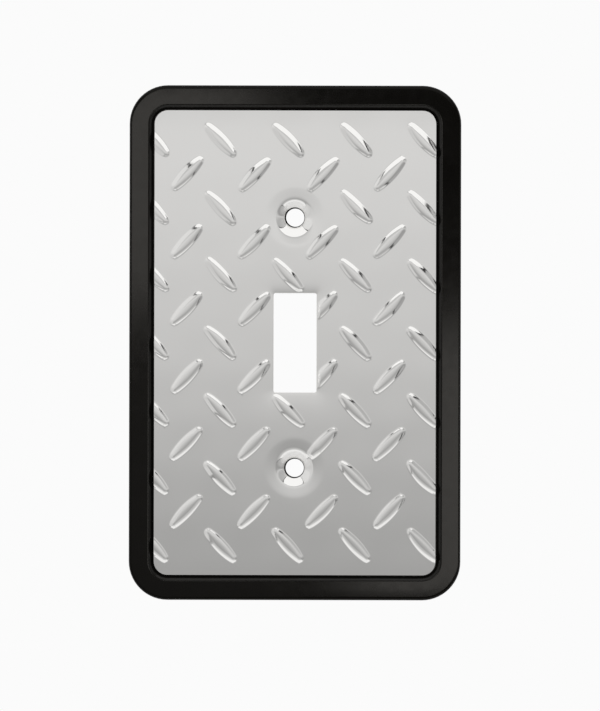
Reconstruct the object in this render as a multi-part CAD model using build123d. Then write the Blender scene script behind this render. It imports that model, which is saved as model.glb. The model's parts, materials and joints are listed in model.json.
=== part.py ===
from build123d import *

import math
import os

# A single-gang toggle wall plate: a moulded black surround, a tread-pattern metal insert and the film that
# bonds them. Millimetres. The wall is the plane y = 0 and the plate stands out of it towards -Y, with +X to
# the right of someone facing it and +Z up. The origin is in the wall plane, in the middle of the toggle
# opening. A depth is always a distance in front of the wall, so depth = -y.

# Outside of the plate
PLATE_WIDTH = 80.0
PLATE_HEIGHT = 124.0
PLATE_CORNER_RADIUS = 9.4
CREST_DEPTH = 7.2  # the rim's inner crest, the most forward line of the surround
RIM_EDGE_DEPTH = 6.95  # the rim's outer edge, before its shoulder is rounded
CREST_INSET = 4.85  # from the plate's edge to the crest
BEVEL_INSET = 5.95  # from the plate's edge to the foot of the bevel round the insert
INSERT_INSET = 6.1  # from the plate's edge to the insert's edge
SIDE_DRAFT = 0.15
CROWN_RISE = 0.1  # how far the rim's face bulges above a straight line
SHOULDER_RADIUS = 1.0
CREST_RADIUS = 0.4

# Standard sizes for a toggle switch and its cover screws
SCREW_SPACING = 60.325
TOGGLE_WIDTH = 10.3
TOGGLE_HEIGHT = 23.8
TOGGLE_CORNER_RADIUS = 0.4

# Layers, as depths
WEB_BACK = 3.6
WEB_FRONT = 5.2
SHEET_BACK = 5.35  # the film fills the gap between the web and the sheet
SHEET_THICKNESS = 0.5
SHEET_FRONT = SHEET_BACK + SHEET_THICKNESS

# Raised treads, in two interleaved grids: the falling ones lean "\" and the rising ones "/"
TREAD_PITCH = 16.25
TREAD_COLUMN_X = -1.7  # the middle column of falling treads
TREAD_SLANT = 46.5
TREAD_HEIGHT = 0.62
TREAD_HALF_WIDTH = 1.65
TREAD_OUTLINE_RADIUS = 10.0  # of the two arcs that meet at a tread's tips
TREAD_FLANK_ANGLE = 32.0
TREAD_ROOT = 0.2  # how far a tread is sunk into the sheet so that the two fuse

# Insert's rolled flange round the toggle opening
FLANGE_THICKNESS = 0.5
FLANGE_END = 4.3
FLANGE_ROLL_RADIUS = 0.3
FLANGE_CLEARANCE = 0.3  # to the web

# Screw seats: a cone pressed into the sheet and a matching one in the web
CONE_HALF_ANGLE = 50.0
CONE_RADIUS = 4.4  # where the cone would meet the sheet's front without its rounded shoulder
CONE_SHOULDER_RADIUS = 1.0
INSERT_HOLE_RADIUS = 2.5
SCREW_HOLE_RADIUS = 2.2
SEAT_CLEARANCE = 0.1
KEEP_OUT_RADIUS = 5.0  # no tread reaches nearer to a screw than this
BOSS_RADIUS = 6.4
BOSS_END = 1.6

# Back of the surround
SKIRT_THICKNESS = 2.0
GROOVE_INSET = 4.4  # outer edge of the web's root, inside the groove behind the rim
GROOVE_FLOOR = 5.0
GROOVE_DRAFT = 0.2
RIB_THICKNESS = 1.2
RIB_END = 1.6
LONG_RIB_X = (-24.0, 24.0)
CROSS_RIB_Z = (-44.0, -15.2, 15.2, 44.0)
COLLAR_THICKNESS = 1.3
COLLAR_END = 2.2

# Film
FILM_EDGE_GAP = 1.0
FILM_HOLE_RADIUS = 5.6
FILM_OPENING_GAP = 0.9

OVERLAP = 1.0  # pieces of one moulding run this far into each other before they are fused
MARGIN = 0.01  # for picking edges by where they lie


def at_depth(depth):
    """The plane parallel to the wall at this depth, with its local x and y along +X and +Z."""
    return Plane.XZ.offset(depth)


def rounded_slab(width, height, radius, back, front):
    """A layer with rounded corners, centred on the origin, between two depths."""
    outline = at_depth(back) * RectangleRounded(width, height, radius)
    return extrude(outline, amount=front - back)


def block(width, height, back, front, x=0.0, z=0.0):
    """A rectangular layer between two depths."""
    outline = at_depth(back) * Pos(x, z) * Rectangle(width, height)
    return extrude(outline, amount=front - back)


def disc(radius, back, front, z):
    """A round layer on the plate's centre line at height z."""
    return extrude(at_depth(back) * Pos(0, z) * Circle(radius), amount=front - back)


def turned(points, z):
    """A body turned about the horizontal axis at height z, from (radius, depth) points."""
    half_section = make_face(Polyline([(radius, -depth) for radius, depth in points], close=True))
    return Pos(0, 0, z) * revolve(half_section, Axis.Y)


def inset_slab(inset, back, front):
    """A layer that follows the plate's outline at this distance inside it."""
    width = PLATE_WIDTH - 2 * inset
    height = PLATE_HEIGHT - 2 * inset
    return rounded_slab(width, height, PLATE_CORNER_RADIUS - inset, back, front)


def opening(gap, back, front):
    """The toggle opening, grown by a gap all round."""
    width = TOGGLE_WIDTH + 2 * gap
    height = TOGGLE_HEIGHT + 2 * gap
    return rounded_slab(width, height, TOGGLE_CORNER_RADIUS + gap, back, front)


SCREW_HEIGHTS = (SCREW_SPACING / 2, -SCREW_SPACING / 2)
CONE_SLOPE = math.tan(math.radians(90 - CONE_HALF_ANGLE))  # depth gained per unit of radius
CONE_WALL_DEPTH = SHEET_THICKNESS / math.sin(math.radians(CONE_HALF_ANGLE))
SEAT_DROP = CONE_WALL_DEPTH + SEAT_CLEARANCE / math.sin(math.radians(CONE_HALF_ANGLE))


def cone_depth(radius):
    """Depth of the dimple's front surface at this distance from the screw's axis."""
    return SHEET_FRONT - CONE_SLOPE * (CONE_RADIUS - radius)


# ---------------------------------------------------------------- surround


def rim_section():
    """Section of the rim: local x runs in from the plate's edge and local y forward from the wall."""
    side = Line((0, 0), (SIDE_DRAFT, RIM_EDGE_DEPTH))
    crown_middle = ((SIDE_DRAFT + CREST_INSET) / 2, (RIM_EDGE_DEPTH + CREST_DEPTH) / 2 + CROWN_RISE)
    crown = ThreePointArc((SIDE_DRAFT, RIM_EDGE_DEPTH), crown_middle, (CREST_INSET, CREST_DEPTH))
    rest = Polyline(
        (CREST_INSET, CREST_DEPTH),
        (BEVEL_INSET, WEB_FRONT),
        (BEVEL_INSET + OVERLAP, WEB_FRONT),
        (BEVEL_INSET + OVERLAP, WEB_BACK),
        (GROOVE_INSET, WEB_BACK),
        (GROOVE_INSET - GROOVE_DRAFT, GROOVE_FLOOR),
        (SKIRT_THICKNESS + GROOVE_DRAFT, GROOVE_FLOOR),
        (SKIRT_THICKNESS, 0),
        (0, 0),
    )
    section = make_face([side, crown, rest])
    shoulder = section.vertices().sort_by_distance((SIDE_DRAFT, RIM_EDGE_DEPTH))[0]
    section = fillet(shoulder, SHOULDER_RADIUS)
    crest = section.vertices().sort_by_distance((CREST_INSET, CREST_DEPTH))[0]
    return fillet(crest, CREST_RADIUS)


def make_rim():
    """The rim, swept round one quarter of the outline and mirrored twice."""
    side_x = PLATE_WIDTH / 2
    top_z = PLATE_HEIGHT / 2
    path = Plane.XZ * FilletPolyline((side_x, 0), (side_x, top_z), (0, top_z), radius=PLATE_CORNER_RADIUS)
    section_plane = Plane(origin=(side_x, 0, 0), x_dir=(-1, 0, 0), z_dir=(0, 0, 1))
    quarter = sweep(section_plane * rim_section(), path=path)
    half = quarter + mirror(quarter, about=Plane.YZ)
    return half + mirror(half, about=Plane.XY)


def make_ribs():
    """A lattice of ribs behind the web, running out into the groove behind the rim."""
    front = GROOVE_FLOOR + GROOVE_DRAFT / 2
    reach_x = PLATE_WIDTH - 2 * SKIRT_THICKNESS - GROOVE_DRAFT
    reach_z = PLATE_HEIGHT - 2 * SKIRT_THICKNESS - GROOVE_DRAFT
    upright = [block(RIB_THICKNESS, reach_z, RIB_END, front, x=x) for x in LONG_RIB_X]
    across = [block(reach_x, RIB_THICKNESS, RIB_END, front, z=z) for z in CROSS_RIB_Z]
    return upright + across


def make_seat(z):
    """The space for one dimple and its screw, as a cone that narrows to the screw hole."""
    foot = cone_depth(SCREW_HOLE_RADIUS) - SEAT_DROP
    mouth = WEB_FRONT + OVERLAP
    mouth_radius = SCREW_HOLE_RADIUS + (mouth - foot) / CONE_SLOPE
    points = [(0, 0), (SCREW_HOLE_RADIUS, 0), (SCREW_HOLE_RADIUS, foot), (mouth_radius, mouth), (0, mouth)]
    return turned(points, z)


def make_frame():
    passage_gap = FLANGE_THICKNESS + FLANGE_CLEARANCE
    web = inset_slab(BEVEL_INSET, WEB_BACK, WEB_FRONT)
    collar = opening(passage_gap + COLLAR_THICKNESS, COLLAR_END, WEB_FRONT)
    bosses = [disc(BOSS_RADIUS, BOSS_END, WEB_FRONT, z) for z in SCREW_HEIGHTS]
    body = make_rim() + [web, collar] + make_ribs() + bosses
    return body - [opening(passage_gap, 0, CREST_DEPTH)] - [make_seat(z) for z in SCREW_HEIGHTS]


# ---------------------------------------------------------------- insert


TREAD_SINK = TREAD_OUTLINE_RADIUS - TREAD_HALF_WIDTH  # from a tread's middle line to its outline's centres


def make_tread(shrink, base, top):
    """A lens-shaped mound where two cones meet, between two heights from the sheet's front, and smaller all
    round by the shrink."""
    flank = math.radians(TREAD_FLANK_ANGLE)
    foot_radius = TREAD_OUTLINE_RADIUS - shrink / math.sin(flank)
    radii = [foot_radius - height / math.tan(flank) for height in (base, top)]
    cone = Pos(0, 0, (base + top) / 2) * Cone(*radii, height=top - base)
    return (Pos(0, TREAD_SINK) * cone) & (Pos(0, -TREAD_SINK) * cone)


def tread_places():
    """Position and slant of every tread. None of the falling ones sits on the toggle or a screw."""
    missing = {(0, 0), (0, 2), (0, -2)}
    falling = [
        (TREAD_COLUMN_X + column * TREAD_PITCH, row * TREAD_PITCH, -TREAD_SLANT)
        for column in range(-2, 3)
        for row in range(-3, 4)
        if (column, row) not in missing
    ]
    rising = [
        (TREAD_COLUMN_X + (column + 0.5) * TREAD_PITCH, (row + 0.5) * TREAD_PITCH, TREAD_SLANT)
        for column in range(-2, 2)
        for row in range(-3, 3)
    ]
    return falling + rising


def spread(tread):
    """Copies of a tread-shaped body at every tread place."""
    front = at_depth(SHEET_FRONT)
    return [front * Pos(x, z) * Rotation(0, 0, slant) * tread for x, z, slant in tread_places()]


def make_dimple(z):
    """The pressed cone round one screw hole."""
    brim = CONE_RADIUS + OVERLAP
    back_cone_meets_sheet = CONE_RADIUS - (SHEET_FRONT - CONE_WALL_DEPTH - SHEET_BACK) / CONE_SLOPE
    points = [
        (INSERT_HOLE_RADIUS, cone_depth(INSERT_HOLE_RADIUS)),
        (CONE_RADIUS, SHEET_FRONT),
        (brim, SHEET_FRONT),
        (brim, SHEET_BACK),
        (back_cone_meets_sheet, SHEET_BACK),
        (INSERT_HOLE_RADIUS, cone_depth(INSERT_HOLE_RADIUS) - CONE_WALL_DEPTH),
    ]
    return turned(points, z)


def edges_on_front(sheet):
    """Edges that lie in the flat front of the sheet."""
    return sheet.edges().filter_by_position(Axis.Y, -SHEET_FRONT - MARGIN, -SHEET_FRONT + MARGIN)


def round_dimples(sheet):
    """Rounds the shoulder where each cone leaves the front."""
    circles = edges_on_front(sheet).filter_by(GeomType.CIRCLE)
    shoulders = circles.filter_by(lambda edge: abs(edge.radius - CONE_RADIUS) < MARGIN)
    return fillet(shoulders, CONE_SHOULDER_RADIUS)


def roll_opening(sheet):
    """Rounds the front edge of the toggle opening."""
    reach_x = TOGGLE_WIDTH / 2 + MARGIN
    reach_z = TOGGLE_HEIGHT / 2 + MARGIN
    lip = edges_on_front(sheet).filter_by_position(Axis.X, -reach_x, reach_x)
    return fillet(lip.filter_by_position(Axis.Z, -reach_z, reach_z), FLANGE_ROLL_RADIUS)


def make_blank():
    """The sheet with its dimples and its rolled opening, before the treads are raised."""
    sheet = inset_slab(INSERT_INSET, SHEET_BACK, SHEET_FRONT)
    for z in SCREW_HEIGHTS:
        sheet = sheet - disc(CONE_RADIUS + OVERLAP / 2, SHEET_BACK, SHEET_FRONT, z) + make_dimple(z)
    sheet = sheet + opening(FLANGE_THICKNESS, FLANGE_END, SHEET_FRONT) - opening(0, FLANGE_END, SHEET_FRONT)
    return roll_opening(round_dimples(sheet))


def tread_zone(wall):
    """Where the sheet is free for treads, with a wall this wide left round the opening and the screws."""
    sheet = inset_slab(INSERT_INSET, 0, CREST_DEPTH)
    screws = [disc(KEEP_OUT_RADIUS + wall, 0, CREST_DEPTH, z) for z in SCREW_HEIGHTS]
    return sheet - [opening(FLANGE_THICKNESS + wall, 0, CREST_DEPTH)] - screws


def make_insert():
    solid_zone = tread_zone(0)
    hollow_zone = tread_zone(SHEET_THICKNESS)
    treads = spread(make_tread(0, -TREAD_ROOT, TREAD_HEIGHT))
    hollow_top = TREAD_HEIGHT - SHEET_THICKNESS
    hollows = spread(make_tread(SHEET_THICKNESS, -SHEET_THICKNESS - TREAD_ROOT, hollow_top))
    raised = make_blank() + [tread & solid_zone for tread in treads]
    return raised - [hollow & hollow_zone for hollow in hollows]


# ---------------------------------------------------------------- film


def make_film():
    film = inset_slab(INSERT_INSET + FILM_EDGE_GAP, WEB_FRONT, SHEET_BACK)
    holes = [disc(FILM_HOLE_RADIUS, WEB_FRONT, SHEET_BACK, z) for z in SCREW_HEIGHTS]
    return film - [opening(FLANGE_THICKNESS + FILM_OPENING_GAP, WEB_FRONT, SHEET_BACK)] - holes


os.makedirs("parts", exist_ok=True)
export_step(make_frame(), "parts/frame.step")
export_step(make_insert(), "parts/tread_insert.step")
export_step(make_film(), "parts/adhesive_sheet.step")
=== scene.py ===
"""Looks for the toggle wall plate.

The wall is y = 0, the front faces -Y and +Z is up. Objects are in metres. The insert's surface is
worked out in millimetres, as (x, z) points and depths in front of the wall, where depth = -y.
"""

import json
import math

import bpy
import numpy as np
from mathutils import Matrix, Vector, geometry, kdtree


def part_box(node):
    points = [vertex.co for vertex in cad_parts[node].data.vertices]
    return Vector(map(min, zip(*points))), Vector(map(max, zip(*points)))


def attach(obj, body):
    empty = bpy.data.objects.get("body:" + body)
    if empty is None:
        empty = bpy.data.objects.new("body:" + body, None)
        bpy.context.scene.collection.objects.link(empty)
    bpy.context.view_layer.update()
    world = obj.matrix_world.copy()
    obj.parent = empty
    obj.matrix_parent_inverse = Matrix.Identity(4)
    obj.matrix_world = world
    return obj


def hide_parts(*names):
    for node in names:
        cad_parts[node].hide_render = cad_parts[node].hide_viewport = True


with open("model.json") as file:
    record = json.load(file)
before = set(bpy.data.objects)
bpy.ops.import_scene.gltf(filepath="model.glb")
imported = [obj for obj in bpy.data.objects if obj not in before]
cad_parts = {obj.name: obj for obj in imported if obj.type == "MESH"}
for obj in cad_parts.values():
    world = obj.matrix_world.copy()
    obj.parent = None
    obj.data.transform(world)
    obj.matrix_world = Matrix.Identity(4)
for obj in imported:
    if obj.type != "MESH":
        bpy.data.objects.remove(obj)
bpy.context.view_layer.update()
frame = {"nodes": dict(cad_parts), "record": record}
scene = bpy.context.scene
MM = 0.001

# ---------------------------------------------------------------- camera

CAMERA_DISTANCE = 1.2
VIEW_WIDTH = 0.145  # width seen at the wall
VIEW_SHIFT = (0.0083, -0.0212)  # as shares of that width
ROLL = -0.13  # degrees
SENSOR_WIDTH = 36.0

camera_data = bpy.data.cameras.new("camera")
camera_data.sensor_fit = "HORIZONTAL"
camera_data.sensor_width = SENSOR_WIDTH
camera_data.lens = SENSOR_WIDTH * CAMERA_DISTANCE / VIEW_WIDTH
camera_data.shift_x, camera_data.shift_y = VIEW_SHIFT
camera_data.clip_start = 0.01
camera_data.clip_end = 20.0
camera = bpy.data.objects.new("camera", camera_data)
camera.location = (0.0, -CAMERA_DISTANCE, 0.0)
camera.rotation_euler = (math.radians(90.0), math.radians(ROLL), 0.0)
scene.collection.objects.link(camera)
scene.camera = camera

# ---------------------------------------------------------------- insert: dimensions in millimetres

insert_high = np.array(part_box("tread_insert")[1]) / MM
mounts = {mount["name"]: mount for mount in frame["record"]["mounts"]}
SCREW_Z = mounts["cover_screws"]["dims"]["spacing_y_mm"] / 2
SCREW_PLACES = (SCREW_Z, -SCREW_Z)

HALF_WIDTH = insert_high[0]
HALF_HEIGHT = insert_high[2]
CORNER_RADIUS = 3.3
SHEET_BACK = 5.35  # in front of the wall
SHEET_THICKNESS = 0.5
SHEET_FRONT = SHEET_BACK + SHEET_THICKNESS
EDGE_RADIUS = 0.08  # rounding of the cut edges
EDGE_TURNS = np.radians((22.5, 45.0, 67.5, 90.0))  # steps round an edge, from the front to the side
WAVE_HEIGHT = 0.012  # of each of the sheet's faint waves
WAVES = ((0.41, 0.23, 0.0), (-0.37, 0.31, 1.0), (0.0, 0.53, 2.0))  # radians per mm of x and z, phase

TOGGLE_HALF_WIDTH = 10.3 / 2
TOGGLE_HALF_HEIGHT = 23.8 / 2
TOGGLE_CORNER_RADIUS = 0.4
FLANGE_RADIUS = 0.2  # of the roll from the sheet's front into the opening
FLANGE_THICKNESS = 0.5
FLANGE_END = 4.3  # in front of the wall
FLANGE_END_ROUNDING = 0.06
FLANGE_FILLET = 0.2  # where the flange meets the sheet's back
FLANGE_DIP = 0.42  # how far the sheet sinks at the opening
FLANGE_DIP_REACH = 1.8  # and how slowly it recovers
FLANGE_FLATTENS = (0.1, 1.1)  # treads flatten between these distances from the opening

CONE_ANGLE = math.radians(40.0)
CONE_SLOPE = math.tan(CONE_ANGLE)
CONE_RADIUS = 4.4
CONE_SOFTNESS = 0.28  # rounding of the cone's upper edge
CONE_WALL_DEPTH = SHEET_THICKNESS / math.cos(CONE_ANGLE)
CONE_WALL_DROP = 0.5  # the wall has that depth once the front is this far down
CONE_FLATTENS = (4.3, 5.4)  # treads flatten between these radii
HOLE_RADIUS = 2.45
HOLE_SHIFT = -0.12  # the insert's holes sit this far to the left of the surround's
DISH_DEPTH = 0.34  # a shallow dish drawn in round each cone
DISH_RADII = (4.2, 7.6)

TREAD_PITCH = 16.25
TREAD_COLUMN_X = -1.7
TREAD_SLANT = 46.8
TREAD_HALF_WIDTH = 1.78  # over the foot
TREAD_ARC_RADIUS = 19.0  # of the outline's two sides
TREAD_HALF_LENGTH = 5.55
TREAD_TIP_CURVATURE = 0.4  # how fast the blunt tips fall back to either side
TREAD_FOOT = 0.4  # width over which the sheet turns up into a tread
TREAD_CURVATURE = 0.5  # slope gained per millimetre across the crown
TREAD_CROWN_REACH = 1.7  # the crown would be level this far in from the outline
RIDGE_SOFTNESS = 0.14  # rounding where a tread's flanks meet

# How much the treads differ, as standard deviations
PLACE_SPREAD = 0.08
SLANT_SPREAD = 0.7  # degrees
RISE_SPREAD = 0.04  # as a share
BEND_SPREAD = 0.12  # sideways bow in the middle

# How the mesh's points are spread
OUTLINE_SPACING = 0.5
OPENING_SPACING = 0.4
TREAD_SKELETON = 3.2  # rays leave a tread's middle line out to this far from its centre
SKELETON_POINTS = 13
LONGEST_RAY = 4.0
RAY_HALVINGS = 24
CROWN_SHARES = (0.25, 0.5, 0.75)  # shares of each ray up to the foot
FOOT_LEVELS = (TREAD_FOOT, 0.34, 0.23, 0.12, 0.0)  # distances in from the outline
TREAD_EDGE_GAP = 0.12
TREAD_SCREW_GAP = 4.5
RING_RADII = (2.9, 3.25, 3.6, 3.85, 4.05, 4.2, 4.35, 4.5, 4.65, 4.85, 5.1, 5.4, 5.8, 6.3, 6.9, 7.5)
RING_GAP = 0.2
FINE_PITCH = 0.7
FINE_GAP = 0.25
FINE_REACH = 6.0  # from the opening
COARSE_PITCH = 1.3
COARSE_GAP = 0.55
FIELD_TREAD_GAP = 0.25
FIELD_EDGE_SHARE = 0.35  # gap to an edge, as a share of the pitch
MERGE_DISTANCE = 0.00001
SHARP_ANGLE = math.radians(40.0)  # edges sharper than this aren't shaded smooth


# ---------------------------------------------------------------- insert: shape


def tread_places():
    """Centre and slant of every tread: falling ones in whole steps, rising ones half a step over."""
    missing = {(0, 0), (0, 2), (0, -2)}  # where the opening and the screw seats are
    falling = [
        (TREAD_COLUMN_X + column * TREAD_PITCH, row * TREAD_PITCH, -TREAD_SLANT)
        for column in range(-2, 3)
        for row in range(-3, 4)
        if (column, row) not in missing
    ]
    rising = [
        (TREAD_COLUMN_X + (column + 0.5) * TREAD_PITCH, (row + 0.5) * TREAD_PITCH, TREAD_SLANT)
        for column in range(-2, 2)
        for row in range(-3, 3)
    ]
    return np.array(falling + rising)


rng = np.random.default_rng(7)
places = tread_places()
TREAD_X = places[:, 0] + rng.normal(0, PLACE_SPREAD, len(places))
TREAD_Z = places[:, 1] + rng.normal(0, PLACE_SPREAD, len(places))
TREAD_ANGLE = np.radians(places[:, 2] + rng.normal(0, SLANT_SPREAD, len(places)))
TREAD_RISE = 1 + rng.normal(0, RISE_SPREAD, len(places))
TREAD_BEND = rng.normal(0, BEND_SPREAD, len(places))


def inside_tread(u, v):
    """Distance in from a tread's outline, for points along and across it, with a softened ridge."""
    sink = TREAD_ARC_RADIUS - TREAD_HALF_WIDTH
    sides = (TREAD_ARC_RADIUS - np.hypot(u, v + sink), TREAD_ARC_RADIUS - np.hypot(u, v - sink))
    tips = TREAD_HALF_LENGTH - np.abs(u) - TREAD_TIP_CURVATURE * v**2
    distances = np.stack((*sides, tips))
    nearest = distances.min(0)
    return nearest - RIDGE_SOFTNESS * np.log(np.exp((nearest - distances) / RIDGE_SOFTNESS).sum(0))


def tread_axes(x, z):
    """Each point in every tread's own axes: along it, and across it from its bowed middle line."""
    dx = x[:, None] - TREAD_X
    dz = z[:, None] - TREAD_Z
    u = dx * np.cos(TREAD_ANGLE) + dz * np.sin(TREAD_ANGLE)
    v = dz * np.cos(TREAD_ANGLE) - dx * np.sin(TREAD_ANGLE)
    return u, v + TREAD_BEND * (u / TREAD_HALF_LENGTH) ** 2


def smooth_step(value, start, end):
    """0 up to the start, 1 from the end on, and a smooth change between."""
    t = np.clip((value - start) / (end - start), 0, 1)
    return t * t * (3 - 2 * t)


def screw_radius(x, z, screw_z):
    return np.hypot(x - HOLE_SHIFT, z - screw_z)


def nearest_screw(x, z):
    return np.min([screw_radius(x, z, screw_z) for screw_z in SCREW_PLACES], axis=0)


def box_distance(x, z, half_width, half_height, radius):
    """Distance outside a rounded rectangle, negative inside."""
    qx = np.abs(x) - half_width + radius
    qz = np.abs(z) - half_height + radius
    return np.hypot(np.maximum(qx, 0), np.maximum(qz, 0)) + np.minimum(np.maximum(qx, qz), 0) - radius


def opening_distance(x, z):
    return box_distance(x, z, TOGGLE_HALF_WIDTH, TOGGLE_HALF_HEIGHT, TOGGLE_CORNER_RADIUS)


def tread_rise(x, z):
    """Height of the embossing: the slope grows over the foot and then eases off up the crown."""
    inward = np.maximum(inside_tread(*tread_axes(x, z)), 0)
    steepest = TREAD_CURVATURE * (TREAD_CROWN_REACH - TREAD_FOOT)
    foot = steepest * np.minimum(inward, TREAD_FOOT) ** 2 / (2 * TREAD_FOOT)
    past = np.maximum(inward - TREAD_FOOT, 0)
    crown = steepest * past - TREAD_CURVATURE * past**2 / 2
    off_seats = smooth_step(nearest_screw(x, z), *CONE_FLATTENS)
    off_opening = smooth_step(opening_distance(x, z), *FLANGE_FLATTENS)
    return (TREAD_RISE * (foot + crown)).sum(1) * (off_seats * off_opening)


def cone_drop(x, z):
    """How far the two screw seats are pressed in."""
    drop = 0
    for screw_z in SCREW_PLACES:
        inside = (CONE_RADIUS - screw_radius(x, z, screw_z)) / CONE_SOFTNESS
        drop = drop + CONE_SLOPE * CONE_SOFTNESS * np.logaddexp(0, inside)
    return drop


def waviness(x, z):
    """The faint unevenness of embossed sheet."""
    return WAVE_HEIGHT * sum(np.sin(per_x * x + per_z * z + phase) for per_x, per_z, phase in WAVES)


def sheet_dip(x, z):
    """The shallow sinking of the sheet towards the opening and round the screw seats."""
    flange = FLANGE_DIP * np.exp(-np.maximum(opening_distance(x, z), 0) / FLANGE_DIP_REACH)
    dish = DISH_DEPTH * (1 - smooth_step(nearest_screw(x, z), *DISH_RADII))
    return flange + dish + waviness(x, z)


def front_depth(x, z):
    return SHEET_FRONT + tread_rise(x, z) - cone_drop(x, z) - sheet_dip(x, z)


def back_depth(x, z):
    drop = cone_drop(x, z)
    wall = (CONE_WALL_DEPTH - SHEET_THICKNESS) * smooth_step(drop, 0.0, CONE_WALL_DROP)
    flange = FLANGE_DIP * (1 - smooth_step(opening_distance(x, z), FLANGE_RADIUS, FLANGE_THICKNESS))
    return SHEET_BACK + tread_rise(x, z) - drop - wall - flange


def front_normals(x, z, step=0.02):
    """Unit normals of the front from its slopes."""
    slope_x = (front_depth(x + step, z) - front_depth(x - step, z)) / (2 * step)
    slope_z = (front_depth(x, z + step) - front_depth(x, z - step)) / (2 * step)
    normals = np.stack((-slope_x, -np.ones_like(x), -slope_z), 1)
    return normals / np.linalg.norm(normals, axis=1, keepdims=True)


# ---------------------------------------------------------------- insert: points


def rounded_loop(half_width, half_height, radius, spacing, fewest=4):
    """Points and outward directions anticlockwise round a rounded rectangle."""
    points, directions = [], []
    corners = ((1, 1, 0), (-1, 1, 90), (-1, -1, 180), (1, -1, 270))
    arc_steps = max(fewest, round(radius * math.pi / 2 / spacing))
    for index, (side_x, side_z, start) in enumerate(corners):
        centre = np.array((side_x * (half_width - radius), side_z * (half_height - radius)))
        for angle in np.radians(start + 90 * np.arange(arc_steps + 1) / arc_steps):
            direction = np.array((math.cos(angle), math.sin(angle)))
            points.append(centre + radius * direction)
            directions.append(direction)
        length = 2 * ((half_width if index % 2 == 0 else half_height) - radius)
        along = np.array((-direction[1], direction[0]))
        steps = round(length / spacing)
        for share in np.arange(1, steps) / steps:
            points.append(centre + radius * direction + share * length * along)
            directions.append(direction)
    return np.array(points), np.array(directions)


def circle_loop(radius, screw_z, count=72):
    """Points and outward directions anticlockwise round a screw hole's middle."""
    angles = np.arange(count) * 2 * math.pi / count
    directions = np.stack((np.cos(angles), np.sin(angles)), 1)
    return np.array((HOLE_SHIFT, screw_z)) + radius * directions, directions


def ray_reaches(starts, angles, level):
    """How far rays from a tread's middle line go before they are this near to its outline."""
    low, high = np.zeros(len(starts)), np.full(len(starts), LONGEST_RAY)
    for _ in range(RAY_HALVINGS):
        middle = (low + high) / 2
        is_in = inside_tread(starts + middle * np.cos(angles), middle * np.sin(angles)) > level
        low, high = np.where(is_in, middle, low), np.where(is_in, high, middle)
    return low


def tread_points(index):
    """Points over one tread, on rays from its middle line outwards, closest together over the foot."""
    fan = np.radians(np.arange(-80, 81, 20))
    along = np.linspace(-TREAD_SKELETON, TREAD_SKELETON, SKELETON_POINTS)
    tips = np.full(len(fan), TREAD_SKELETON)
    across = np.full(len(along), math.pi / 2)
    starts = np.concatenate((along, along, tips, -tips))
    angles = np.concatenate((across, -across, fan, fan + math.pi))
    reaches = [ray_reaches(starts, angles, level) for level in FOOT_LEVELS]
    reaches = [reaches[0] * share for share in CROWN_SHARES] + reaches
    u = np.concatenate([along] + [starts + reach * np.cos(angles) for reach in reaches])
    v = np.concatenate([0 * along] + [reach * np.sin(angles) for reach in reaches])
    v = v - TREAD_BEND[index] * (u / TREAD_HALF_LENGTH) ** 2
    cosine, sine = math.cos(TREAD_ANGLE[index]), math.sin(TREAD_ANGLE[index])
    x = TREAD_X[index] + u * cosine - v * sine
    z = TREAD_Z[index] + u * sine + v * cosine
    return np.stack((x, z), 1)


def triangular_grid(pitch):
    rows = np.arange(-HALF_HEIGHT, HALF_HEIGHT, pitch * math.sqrt(3) / 2)
    columns = np.arange(-HALF_WIDTH, HALF_WIDTH, pitch)
    x, z = np.meshgrid(columns, rows)
    x[::2] += pitch / 2
    return np.stack((x.ravel(), z.ravel()), 1)


def edge_clearance(points):
    """Distance from the nearest edge of the sheet, negative off it."""
    x, z = points.T
    inset = EDGE_RADIUS
    outline = -box_distance(x, z, HALF_WIDTH - inset, HALF_HEIGHT - inset, CORNER_RADIUS - inset)
    slot = opening_distance(x, z) - FLANGE_RADIUS
    holes = [screw_radius(x, z, screw_z) - HOLE_RADIUS - inset for screw_z in SCREW_PLACES]
    return np.min([outline, slot, *holes], axis=0)


def field_points(pitch):
    """An even grid over the flat of the sheet, off the treads, the dishes and the edges."""
    points = triangular_grid(pitch)
    off_treads = inside_tread(*tread_axes(*points.T)).max(1) < -FIELD_TREAD_GAP
    off_edges = edge_clearance(points) > FIELD_EDGE_SHARE * pitch
    off_dishes = nearest_screw(*points.T) > DISH_RADII[1]
    return points[off_treads & off_edges & off_dishes]


def thin_out(points, taken, gap):
    """Leaves out points that are nearer than this to one already taken."""
    tree = kdtree.KDTree(len(taken))
    for index, point in enumerate(taken):
        tree.insert((*point, 0.0), index)
    tree.balance()
    return points[[tree.find((*point, 0.0))[2] > gap for point in points]]


def sheet_points():
    """The points within the edges: over the treads, in rings round the screw holes, then grids."""
    treads = np.concatenate([tread_points(index) for index in range(len(TREAD_X))])
    off_edges = edge_clearance(treads) > TREAD_EDGE_GAP
    treads = treads[off_edges & (nearest_screw(*treads.T) > TREAD_SCREW_GAP)]
    rings = [circle_loop(radius, screw_z)[0] for radius in RING_RADII for screw_z in SCREW_PLACES]
    points = np.concatenate((treads, thin_out(np.concatenate(rings), treads, RING_GAP)))
    fine = field_points(FINE_PITCH)
    fine = fine[opening_distance(*fine.T) < FINE_REACH]
    points = np.concatenate((points, thin_out(fine, points, FINE_GAP)))
    return np.concatenate((points, thin_out(field_points(COARSE_PITCH), points, COARSE_GAP)))


# ---------------------------------------------------------------- insert: mesh


def placed(points, depths):
    """Positions in metres from (x, z) points and depths."""
    return np.stack((points[:, 0], -depths, points[:, 1]), 1) * MM


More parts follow.
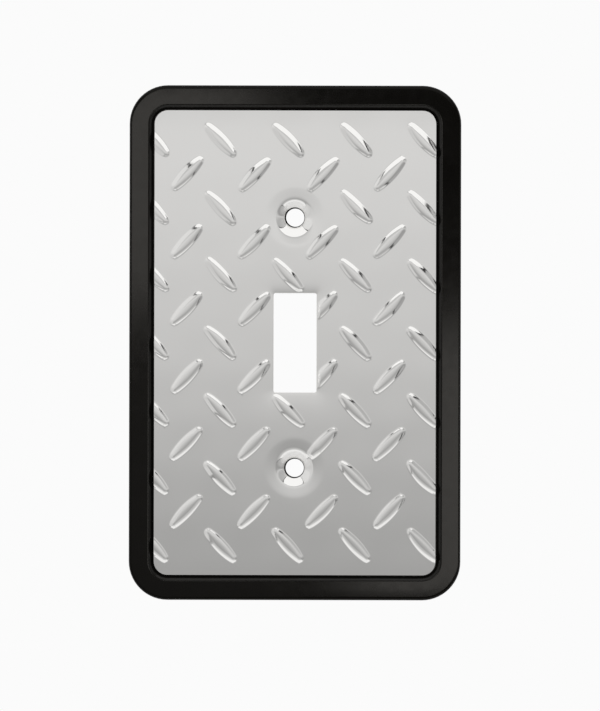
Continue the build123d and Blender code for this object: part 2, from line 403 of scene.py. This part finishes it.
def edge_loops():
    """Points and directions round the sheet's outline, its opening and its two screw holes."""
    inset = EDGE_RADIUS
    outline = (HALF_WIDTH - inset, HALF_HEIGHT - inset, CORNER_RADIUS - inset)
    roll = FLANGE_RADIUS
    opening = (TOGGLE_HALF_WIDTH + roll, TOGGLE_HALF_HEIGHT + roll, TOGGLE_CORNER_RADIUS + roll)
    holes = [circle_loop(HOLE_RADIUS + inset, screw_z) for screw_z in SCREW_PLACES]
    return [rounded_loop(*outline, OUTLINE_SPACING), rounded_loop(*opening, OPENING_SPACING), *holes]


def triangulated(loops):
    """The flat sheet within its edges: its points, its triangles, and each edge's points in order."""
    sizes = [len(points) for points, _ in loops]
    starts = np.concatenate(([0], np.cumsum(sizes)))
    spans = list(zip(starts, sizes))
    seeds = np.concatenate([points for points, _ in loops] + [sheet_points()])
    seeds = [Vector(seed) for seed in seeds]
    borders = [(start + i, start + (i + 1) % size) for start, size in spans for i in range(size)]
    flat, _, faces, origins, _, _ = geometry.delaunay_2d_cdt(seeds, borders, [], 0, MERGE_DISTANCE)
    flat = np.array(flat)
    faces = np.array(faces)
    faces = faces[edge_clearance(flat[faces].mean(1)) > 0]
    found = {origin: index for index, group in enumerate(origins) for origin in group}
    edges = [np.array([found[start + i] for i in range(size)]) for start, size in spans]
    return flat, faces, edges


def edge_rings(is_opening, fronts, backs):
    """Rows of points over an edge from front to back: each one's distance past the loop, and depths."""
    radius = FLANGE_RADIUS if is_opening else EDGE_RADIUS
    rings = [(radius * math.sin(turn), fronts - radius * (1 - math.cos(turn))) for turn in EDGE_TURNS]
    if not is_opening:
        return rings + [(radius, backs + radius), (0.5 * radius, backs)]
    end = np.full(len(fronts), FLANGE_END)
    outer = radius - FLANGE_THICKNESS
    ease = FLANGE_END_ROUNDING
    rings += [(radius, end + ease), (radius - ease, end), (outer + ease, end), (outer, end + ease)]
    return rings + [(outer, backs - FLANGE_FILLET), (0.5 * outer, backs - FLANGE_FILLET / 4)]


def sheet_geometry():
    """Vertices and triangles of the closed sheet, and the normals of its front's vertices."""
    loops = edge_loops()
    flat, faces, edges = triangulated(loops)
    x, z = flat.T
    count = len(flat)
    fronts, backs = front_depth(x, z), back_depth(x, z)
    vertices = [placed(flat, fronts), placed(flat, backs)]
    triangles = [faces, faces[:, ::-1] + count]
    total = 2 * count
    for number, (edge, (_, directions)) in enumerate(zip(edges, loops)):
        is_outline, is_opening = number == 0, number == 1
        outward = directions if is_outline else -directions
        bands = [edge]
        for offset, depths in edge_rings(is_opening, fronts[edge], backs[edge]):
            vertices.append(placed(flat[edge] + offset * outward, depths))
            bands.append(total + np.arange(len(edge)))
            total += len(edge)
        bands.append(edge + count)
        for first, second in zip(bands, bands[1:]):
            a, b, c, d = first, np.roll(first, -1), np.roll(second, -1), second
            quads = np.concatenate((np.stack((a, b, c), 1), np.stack((a, c, d), 1)))
            triangles.append(quads[:, ::-1] if is_outline else quads)
    return np.concatenate(vertices), np.concatenate(triangles), front_normals(x, z)


def make_insert():
    """The sheet as an object, smooth between its edges and shaded by its formula in front."""
    vertices, triangles, normals = sheet_geometry()
    mesh = bpy.data.meshes.new("insert_sheet")
    mesh.from_pydata(vertices.tolist(), [], triangles.tolist())
    mesh.validate()
    mesh.shade_smooth()
    mesh.set_sharp_from_angle(angle=SHARP_ANGLE)
    corners = np.zeros(len(mesh.loops), int)
    mesh.loops.foreach_get("vertex_index", corners)
    shading = np.zeros(3 * len(corners))
    mesh.corner_normals.foreach_get("vector", shading)
    shading = shading.reshape(-1, 3)
    on_front = corners < len(normals)
    shading[on_front] = normals[corners[on_front]]
    mesh.normals_split_custom_set(shading.tolist())
    sheet = bpy.data.objects.new("insert_sheet", mesh)
    scene.collection.objects.link(sheet)
    return sheet


insert = make_insert()
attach(insert, "root")
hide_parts("tread_insert")

# ---------------------------------------------------------------- materials

NOISE_LIMITS = (0.3, 0.7)  # nearly all of a noise's values lie between these
MIX_FIRST, MIX_SECOND, MIX_RESULT = 6, 7, 2  # the Mix node's colour sockets


class Nodes:
    """A small helper that adds nodes to one tree and links them by name."""

    def __init__(self, tree):
        self.tree = tree
        self.tree.nodes.clear()

    def add(self, kind, settings=None, **inputs):
        node = self.tree.nodes.new("ShaderNode" + kind)
        for name, value in (settings or {}).items():
            setattr(node, name, value)
        for name, value in inputs.items():
            socket = node.inputs[name.replace("_", " ")]
            if isinstance(value, bpy.types.NodeSocket):
                self.tree.links.new(value, socket)
            else:
                socket.default_value = value
        return node


def noise(nodes, per_metre, detail=3.0, stretch=(1.0, 1.0, 1.0)):
    """Noise over the object: cycles per metre, and the share of them along each axis."""
    place = nodes.add("TexCoord").outputs["Object"]
    mapped = nodes.add("Mapping", Vector=place, Scale=stretch).outputs["Vector"]
    return nodes.add("TexNoise", Vector=mapped, Scale=per_metre, Detail=detail).outputs["Fac"]


def spread_over(nodes, value, low, high):
    """A noise value as a number between two limits."""
    start, end = NOISE_LIMITS
    spread = nodes.add("MapRange", Value=value, From_Min=start, From_Max=end, To_Min=low, To_Max=high)
    return spread.outputs["Result"]


def mix_colours(nodes, factor, first, second):
    node = nodes.add("Mix", {"data_type": "RGBA"}, Factor=factor)
    node.inputs[MIX_FIRST].default_value = (*first, 1.0)
    node.inputs[MIX_SECOND].default_value = (*second, 1.0)
    return node.outputs[MIX_RESULT]


def new_material(name):
    material = bpy.data.materials.new(name)
    material.use_nodes = True
    return material, Nodes(material.node_tree)


def finish_material(nodes, colour, roughness, height, bump_distance, **inputs):
    """The shader itself. The bump's distance is in metres."""
    bump = nodes.add("Bump", Height=height, Distance=bump_distance, Strength=1.0).outputs["Normal"]
    shader = nodes.add("BsdfPrincipled", Base_Color=colour, Roughness=roughness, Normal=bump, **inputs)
    nodes.add("OutputMaterial", Surface=shader.outputs["BSDF"])


def make_metal():
    """Bright rolled sheet: nearly even, with faint long marks from rolling and a fine grain."""
    material, nodes = new_material("bright_sheet")
    duller, brighter = (0.945, 0.936, 0.918), (0.970, 0.961, 0.943)
    cloud = noise(nodes, per_metre=60.0)
    rolling = noise(nodes, per_metre=900.0, detail=2.0, stretch=(1.0, 1.0, 0.04))
    grain = noise(nodes, per_metre=4000.0, detail=2.0)
    colour = mix_colours(nodes, cloud, duller, brighter)
    roughness = spread_over(nodes, cloud, low=0.07, high=0.11)
    height = nodes.add("Math", {"operation": "ADD"})
    nodes.tree.links.new(rolling, height.inputs[0])
    nodes.tree.links.new(grain, height.inputs[1])
    finish_material(nodes, colour, roughness, height.outputs[0], bump_distance=0.0000006, Metallic=1.0)
    return material


def make_moulding():
    """Black moulded plastic with a soft sheen."""
    material, nodes = new_material("black_moulding")
    darker, lighter = (0.0022, 0.0020, 0.0017), (0.0036, 0.0033, 0.0029)
    colour = mix_colours(nodes, noise(nodes, per_metre=120.0), darker, lighter)
    roughness = spread_over(nodes, noise(nodes, per_metre=500.0), low=0.19, high=0.26)
    height = noise(nodes, per_metre=2500.0)
    sheen = {"Specular IOR Level": 0.1, "Specular Tint": (1.0, 0.96, 0.90, 1.0)}
    finish_material(nodes, colour, roughness, height, bump_distance=0.000004, **sheen)
    return material


def make_film():
    """Matt bonding film with a mottled, slightly yellow tone."""
    material, nodes = new_material("bonding_film")
    darker, lighter = (0.50, 0.49, 0.44), (0.62, 0.61, 0.57)
    cloud = noise(nodes, per_metre=300.0)
    colour = mix_colours(nodes, cloud, darker, lighter)
    roughness = spread_over(nodes, cloud, low=0.6, high=0.8)
    height = noise(nodes, per_metre=1500.0)
    finish_material(nodes, colour, roughness, height, bump_distance=0.00002)
    return material


def dress(obj, material):
    obj.data.materials.clear()
    obj.data.materials.append(material)


dress(insert, make_metal())
dress(frame["nodes"]["frame"], make_moulding())
dress(frame["nodes"]["adhesive_sheet"], make_film())

# ---------------------------------------------------------------- surroundings

WHITE_ROOM = 0.965
FLOOR_Z = -0.3
FLOOR_REACH = 1.8
FLOOR_ROUGHNESS = 0.8

scene.view_settings.view_transform = "Standard"
scene.view_settings.look = "None"
world = bpy.data.worlds.new("white_room")
scene.world = world
world.use_nodes = True
background = world.node_tree.nodes["Background"]
background.inputs["Color"].default_value = (WHITE_ROOM, WHITE_ROOM, WHITE_ROOM, 1.0)
background.inputs["Strength"].default_value = 1.0


def add_quad(name, corners):
    """A flat stage piece from its four corners, in metres."""
    quad = bpy.data.meshes.new(name)
    quad.from_pydata(corners, [], [(0, 1, 2, 3)])
    piece = bpy.data.objects.new(name, quad)
    scene.collection.objects.link(piece)
    return piece


def make_floor():
    """The pale floor, well below the plate."""
    sides = ((-1, -1), (1, -1), (1, 1), (-1, 1))
    piece = add_quad("floor", [(x * FLOOR_REACH, y * FLOOR_REACH, FLOOR_Z) for x, y in sides])
    material, nodes = new_material("pale_floor")
    darker, lighter = (0.84, 0.84, 0.84), (0.88, 0.88, 0.88)
    colour = mix_colours(nodes, noise(nodes, per_metre=3.0), darker, lighter)
    height = noise(nodes, per_metre=40.0)
    finish_material(nodes, colour, FLOOR_ROUGHNESS, height, bump_distance=0.0002)
    dress(piece, material)
    return piece


def only_for(name, *receivers):
    """A collection that keeps a light to these pieces."""
    collection = bpy.data.collections.new(name)
    for receiver in receivers:
        collection.objects.link(receiver)
    return collection


floor = make_floor()
all_but_surround = only_for("all_but_surround", insert, floor, frame["nodes"]["adhesive_sheet"])
surround_only = only_for("surround_only", frame["nodes"]["frame"])

# A tent of panels stands in front of the plate, open above. It is what the metal mirrors, and it
# lights everything but the black surround. The camera looks through it. Corners are (x, z), and
# tones are (z, brightness as mirrored).
TENT_Y = -0.136
MIRRORED = 0.96  # share of the light that the metal gives back
SEAM_GAP = 0.001  # the seams stand this much nearer to the plate than the panels
LIGHT_GAP = 0.004  # and the lights this much
SRGB_OFFSET = 0.055
SRGB_POWER = 2.4

# The middle panel's corners, and the corners that the side panels run out to
UPPER_LEFT, OUTER_UPPER_LEFT = (-0.095, 0.130), (-0.800, 0.990)
UPPER_RIGHT, OUTER_UPPER_RIGHT = (0.095, 0.088), (0.800, 0.790)
LOWER_RIGHT, OUTER_LOWER_RIGHT = (0.112, -0.062), (0.800, -0.780)
LOWER_LEFT, OUTER_LOWER_LEFT = (-0.095, -0.100), (-0.800, -0.660)

TENT_PANELS = {
    "tent_middle": (
        (UPPER_LEFT, UPPER_RIGHT, LOWER_RIGHT, LOWER_LEFT),
        (
            (-0.100, 0.66),
            (-0.085, 0.60),
            (-0.060, 0.63),
            (-0.045, 0.66),
            (-0.032, 0.69),
            (-0.019, 0.725),
            (0.000, 0.77),
            (0.020, 0.79),
            (0.032, 0.81),
            (0.055, 0.83),
            (0.085, 0.75),
            (0.100, 0.73),
            (0.130, 0.80),
        ),
    ),
    "tent_left": (
        (UPPER_LEFT, OUTER_UPPER_LEFT, OUTER_LOWER_LEFT, LOWER_LEFT),
        ((-0.66, 0.83), (-0.15, 0.81), (-0.06, 0.78), (0.05, 0.82), (0.10, 0.86), (0.99, 0.86)),
    ),
    "tent_right": (
        (UPPER_RIGHT, OUTER_UPPER_RIGHT, OUTER_LOWER_RIGHT, LOWER_RIGHT),
        (
            (-0.78, 0.78),
            (-0.15, 0.67),
            (-0.06, 0.59),
            (-0.02, 0.62),
            (0.02, 0.79),
            (0.06, 0.72),
            (0.10, 0.68),
            (0.79, 0.76),
        ),
    ),
    "tent_bottom": (
        (LOWER_LEFT, OUTER_LOWER_LEFT, OUTER_LOWER_RIGHT, LOWER_RIGHT),
        ((-0.78, 0.90), (-0.20, 0.93), (-0.16, 0.86), (-0.13, 0.76), (-0.10, 0.71), (-0.06, 0.64)),
    ),
}

# Darker strips over the joins between the panels: (start, end, width, brightness as mirrored)
TENT_SEAMS = {
    "seam_upper_left": ((-0.092, 0.125), OUTER_UPPER_LEFT, 0.012, 0.05),
    "seam_upper_right": ((0.105, 0.096), OUTER_UPPER_RIGHT, 0.014, 0.05),
    "seam_lower_right": ((0.120, -0.070), OUTER_LOWER_RIGHT, 0.012, 0.25),
    "seam_lower_left": (LOWER_LEFT, OUTER_LOWER_LEFT, 0.012, 0.55),
}

# Soft lights that fall on the black surround alone: (centre x and z, width, height, brightness)
SURROUND_LIGHTS = {
    "light_upper_left": (-0.105, 0.052, 0.190, 0.086, 5.0),
    "light_lower_right": (0.110, -0.040, 0.190, 0.090, 5.4),
    "light_lower_left": (-0.095, -0.080, 0.200, 0.160, 0.55),
}


def emitted(brightness):
    """Light that a panel gives off, for the sRGB brightness that it should show when mirrored."""
    return ((brightness + SRGB_OFFSET) / (1 + SRGB_OFFSET)) ** SRGB_POWER / MIRRORED


def make_panel(name, corners, y, tones):
    """A glowing panel, whose brightness changes with height."""
    panel = add_quad(name, [(x, y, z) for x, z in corners])
    panel.visible_camera = False
    panel.light_linking.receiver_collection = all_but_surround
    material, nodes = new_material(name)
    height = nodes.add("SeparateXYZ", Vector=nodes.add("TexCoord").outputs["Object"]).outputs["Z"]
    low, high = tones[0][0], tones[-1][0]
    share = nodes.add("MapRange", Value=height, From_Min=low, From_Max=high).outputs["Result"]
    ramp = nodes.add("ValToRGB", Fac=share)
    stops = ramp.color_ramp.elements  # two of them to begin with
    for index, (z, brightness) in enumerate(tones):
        position = (z - low) / (high - low)
        stop = stops[index] if index < 2 else stops.new(position)
        stop.position = position
        stop.color = (*3 * [emitted(brightness)], 1.0)
    emission = nodes.add("Emission", Color=ramp.outputs["Color"], Strength=1.0)
    nodes.add("OutputMaterial", Surface=emission.outputs["Emission"])
    dress(panel, material)


def make_seam(name, start, end, width, brightness):
    """A strip of even brightness along a line."""
    start, end = Vector(start), Vector(end)
    across = (end - start).orthogonal().normalized() * width / 2
    corners = (start - across, end - across, end + across, start + across)
    make_panel(name, corners, TENT_Y + SEAM_GAP, ((-1.0, brightness), (1.0, brightness)))


def make_light(name, x, z, width, height, brightness):
    """An upright soft light that faces the plate and lights the surround alone."""
    light_data = bpy.data.lights.new(name, "AREA")
    light_data.shape = "RECTANGLE"
    light_data.size = width
    light_data.size_y = height
    light_data.energy = brightness * math.pi * width * height
    light = bpy.data.objects.new(name, light_data)
    light.location = (x, TENT_Y + LIGHT_GAP, z)
    light.rotation_euler = (math.radians(90.0), 0.0, 0.0)
    light.visible_camera = False
    light.light_linking.receiver_collection = surround_only
    scene.collection.objects.link(light)


for name, (corners, tones) in TENT_PANELS.items():
    make_panel(name, corners, TENT_Y, tones)
for name, seam in TENT_SEAMS.items():
    make_seam(name, *seam)
for name, light in SURROUND_LIGHTS.items():
    make_light(name, *light)
